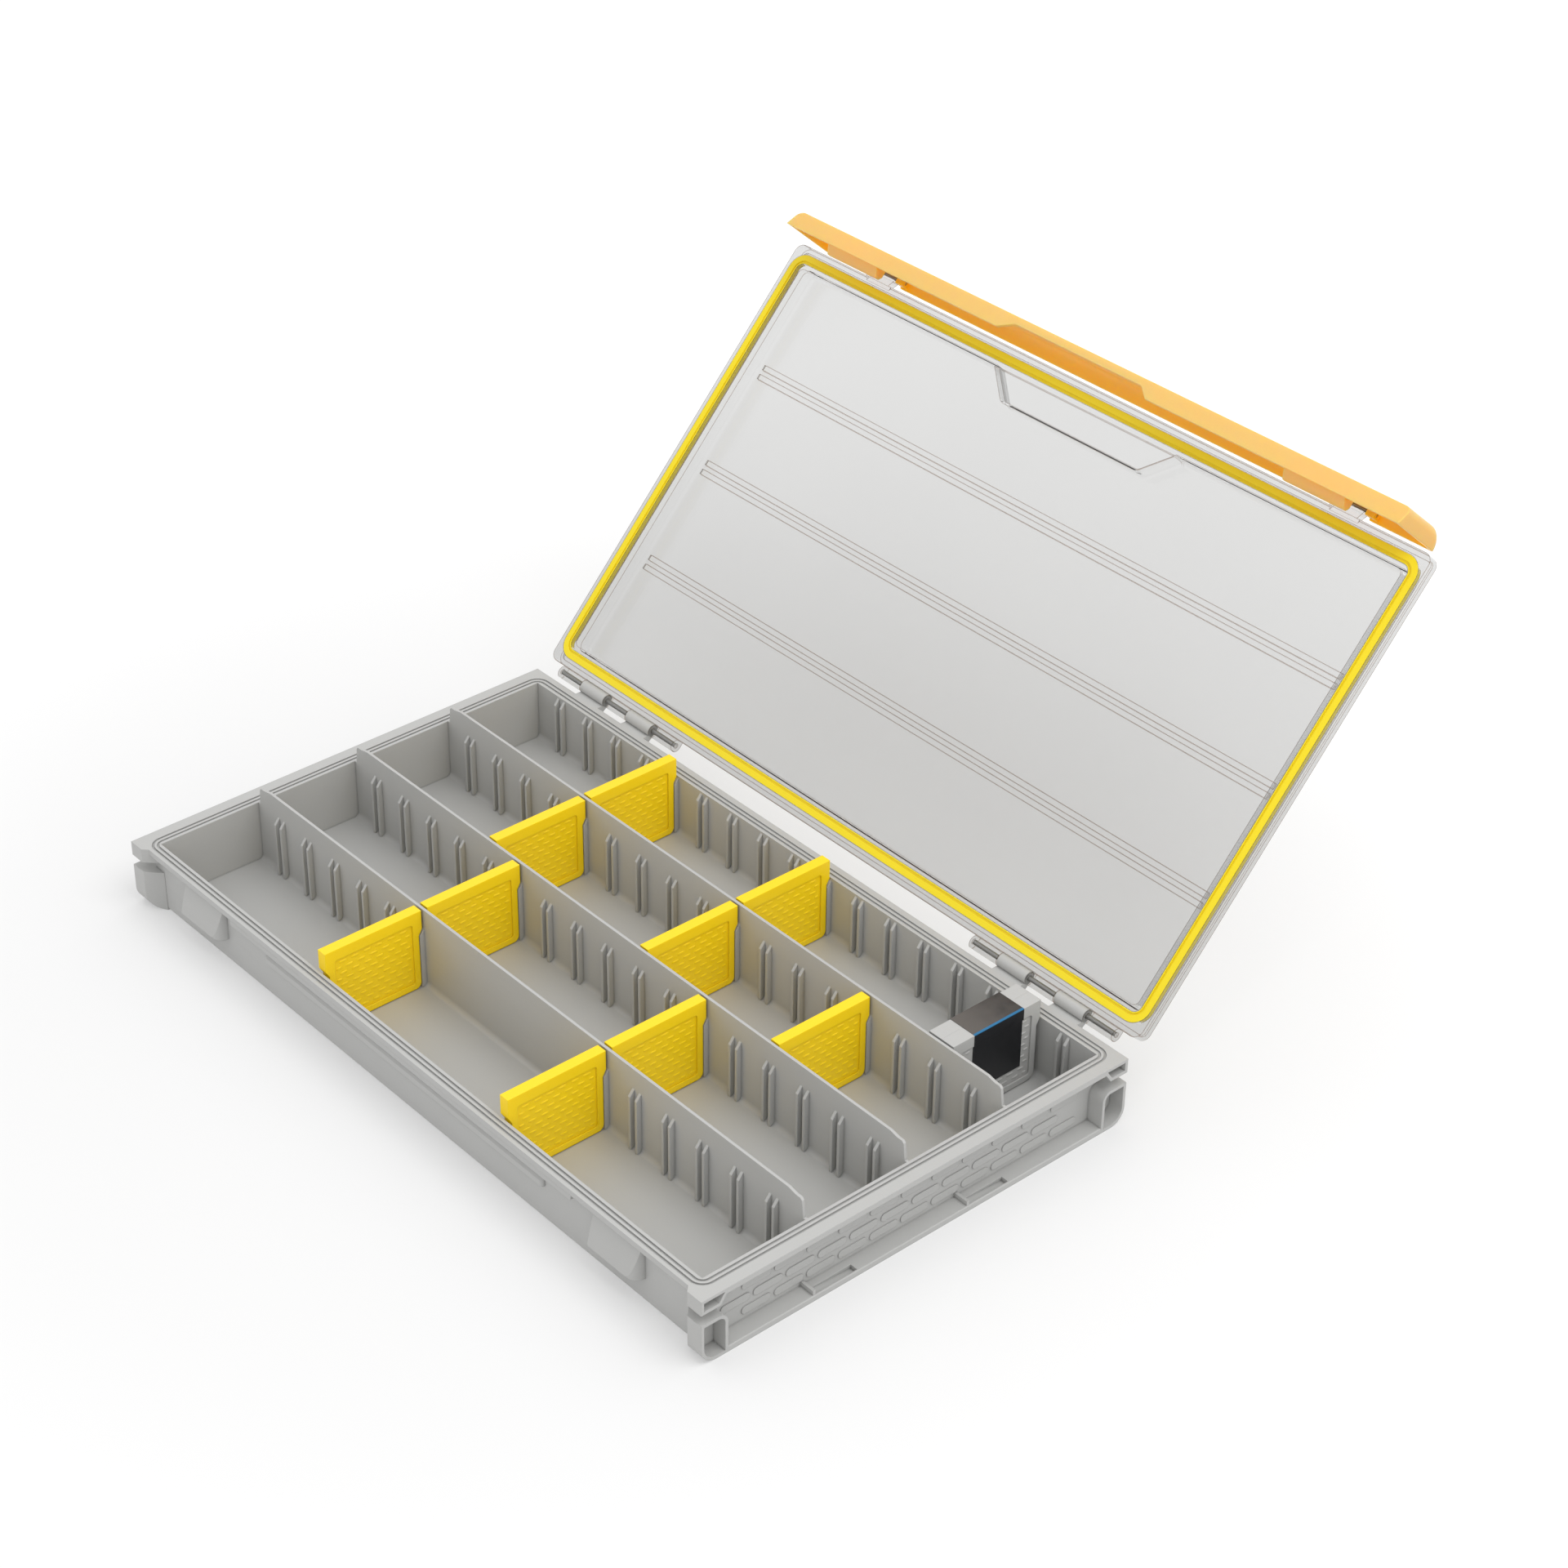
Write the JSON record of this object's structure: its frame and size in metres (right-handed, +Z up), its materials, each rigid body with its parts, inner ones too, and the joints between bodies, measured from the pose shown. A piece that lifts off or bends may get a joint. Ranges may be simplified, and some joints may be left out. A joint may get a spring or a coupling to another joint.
{
  "type": "tackle utility box",
  "caption": "Flat compartment box with a domed clear lid on knuckle hinges, a full-width latch bar, a lid seal, long rows and lift-out cross dividers.",
  "frame": {"origin": "centre of the tray's footprint on the surface it stands on", "axes": "+X along the long side, +Y towards the hinge, +Z up"},
  "size_m": [0.3556, 0.3648, 0.206],
  "materials": {
    "grey_plastic": "satin moulded",
    "clear_plastic": "clear",
    "amber_plastic": "translucent",
    "yellow_plastic": "satin moulded",
    "dryer_plastic": "moulded",
    "drying_granules": "granular",
    "label_film": "printed film, left blank",
    "seal_rubber": "matt",
    "pin_steel": "drawn wire"
  },
  "bodies": {
    "tray": {"base_tray": "grey_plastic", "hinge_pin_left": "pin_steel", "hinge_pin_right": "pin_steel"},
    "lid": {"lid": "clear_plastic", "lid_gasket": "seal_rubber"},
    "latch": {"latch": "amber_plastic", "latch_pin_left": "pin_steel", "latch_pin_right": "pin_steel"},
    "divider_row1_slot6": {"divider_row1_slot6": "yellow_plastic"},
    "divider_row1_slot12": {"divider_row1_slot12": "yellow_plastic"},
    "divider_row2_slot6": {"divider_row2_slot6": "yellow_plastic"},
    "divider_row2_slot12": {"divider_row2_slot12": "yellow_plastic"},
    "divider_row3_slot5": {"divider_row3_slot5": "yellow_plastic"},
    "divider_row3_slot10": {"divider_row3_slot10": "yellow_plastic"},
    "divider_row3_slot14": {"divider_row3_slot14": "yellow_plastic"},
    "divider_row4_slot5": {"divider_row4_slot5": "yellow_plastic"},
    "divider_row4_slot10": {"divider_row4_slot10": "yellow_plastic"},
    "drying_divider": {"drying_divider_shell_left": "dryer_plastic", "drying_divider_shell_right": "dryer_plastic", "drying_block": "drying_granules", "drying_divider_label": "label_film"}
  },
  "joints": [
    {"name": "lid_hinge", "type": "hinge", "parent": "tray", "child": "lid", "pos_m": [0, 0.1074, 0.0308], "axis": [-1, 0, 0], "range_deg": [-132.45, 0]},
    {"name": "latch_hinge", "type": "hinge", "parent": "lid", "child": "latch", "pos_m": [0, 0.25778, 0.18571], "axis": [-1, 0, 0], "range_deg": [0, 100]},
    {"name": "divider_row1_slot6_lift", "type": "slide", "parent": "tray", "child": "divider_row1_slot6", "axis": [0, 0, 1], "range_m": [0, 0.045]},
    {"name": "divider_row1_slot12_lift", "type": "slide", "parent": "tray", "child": "divider_row1_slot12", "axis": [0, 0, 1], "range_m": [0, 0.045]},
    {"name": "divider_row2_slot6_lift", "type": "slide", "parent": "tray", "child": "divider_row2_slot6", "axis": [0, 0, 1], "range_m": [0, 0.045]},
    {"name": "divider_row2_slot12_lift", "type": "slide", "parent": "tray", "child": "divider_row2_slot12", "axis": [0, 0, 1], "range_m": [0, 0.045]},
    {"name": "divider_row3_slot5_lift", "type": "slide", "parent": "tray", "child": "divider_row3_slot5", "axis": [0, 0, 1], "range_m": [0, 0.045]},
    {"name": "divider_row3_slot10_lift", "type": "slide", "parent": "tray", "child": "divider_row3_slot10", "axis": [0, 0, 1], "range_m": [0, 0.045]},
    {"name": "divider_row3_slot14_lift", "type": "slide", "parent": "tray", "child": "divider_row3_slot14", "axis": [0, 0, 1], "range_m": [0, 0.045]},
    {"name": "divider_row4_slot5_lift", "type": "slide", "parent": "tray", "child": "divider_row4_slot5", "axis": [0, 0, 1], "range_m": [0, 0.045]},
    {"name": "divider_row4_slot10_lift", "type": "slide", "parent": "tray", "child": "divider_row4_slot10", "axis": [0, 0, 1], "range_m": [0, 0.045]},
    {"name": "drying_divider_lift", "type": "slide", "parent": "tray", "child": "drying_divider", "axis": [0, 0, 1], "range_m": [0, 0.045]}
  ]
}
